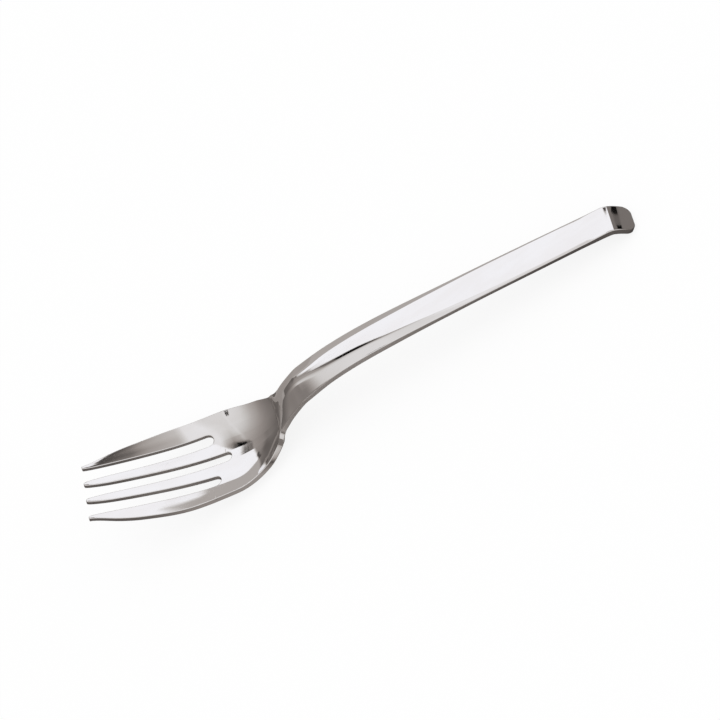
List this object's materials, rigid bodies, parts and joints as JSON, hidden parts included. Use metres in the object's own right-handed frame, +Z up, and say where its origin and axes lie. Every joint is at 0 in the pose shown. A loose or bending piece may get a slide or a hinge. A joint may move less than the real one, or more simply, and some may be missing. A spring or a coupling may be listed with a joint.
{
  "type": "serving fork",
  "caption": "One-piece stainless steel serving fork with a shallow bowl, a cranked neck and a flat handle that ends in a small hook, for lifting and serving food.",
  "frame": {"origin": "on the table under the middle of the fork's box, as it lies face up on its bowl and its hooked end", "axes": "+Z up from the table, +X from the tips of the tines towards the hooked end, +Y across the fork"},
  "size_m": [0.2808, 0.052, 0.0303],
  "materials": {
    "polished_steel": "mirror polished stainless steel"
  },
  "bodies": {
    "root": {"fork": "polished_steel"}
  },
  "joints": []
}
